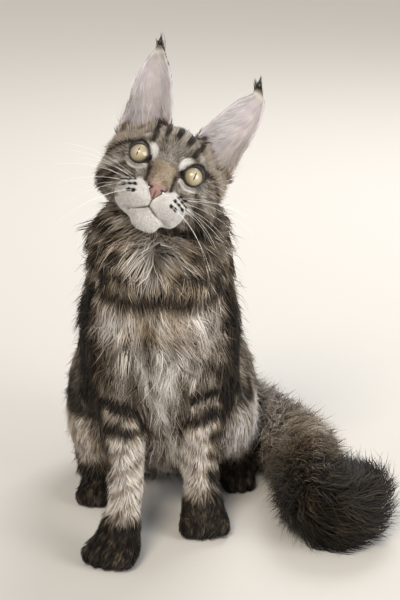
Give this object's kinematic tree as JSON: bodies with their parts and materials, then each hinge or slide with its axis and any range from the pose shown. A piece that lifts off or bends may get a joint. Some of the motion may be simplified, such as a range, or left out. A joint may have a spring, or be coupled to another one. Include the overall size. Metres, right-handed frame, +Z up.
{
  "type": "long-haired cat, sitting",
  "caption": "Life-size still model of a young long-haired tabby cat that sits upright with its head cocked, its ears tufted and its tail laid round its side.",
  "frame": {"origin": "on the floor, under the middle of the whole model's box", "axes": "+Z up, the cat faces -Y and its left side is +X"},
  "size_m": [0.3308, 0.3758, 0.4777],
  "materials": {
    "coat": "matte",
    "nose": "satin",
    "eye": "gloss"
  },
  "bodies": {
    "root": {"head": "coat", "neck": "coat", "trunk": "coat", "foreleg_left": "coat", "foreleg_right": "coat", "forepaw_left": "coat", "forepaw_right": "coat", "hindleg_left": "coat", "hindleg_right": "coat", "hindpaw_left": "coat", "hindpaw_right": "coat", "tail_base": "coat", "tail_middle": "coat", "tail_end": "coat", "tail_tip": "coat", "ear_left": "coat", "ear_right": "coat", "eye_left": "eye", "eye_right": "eye"}
  },
  "joints": []
}
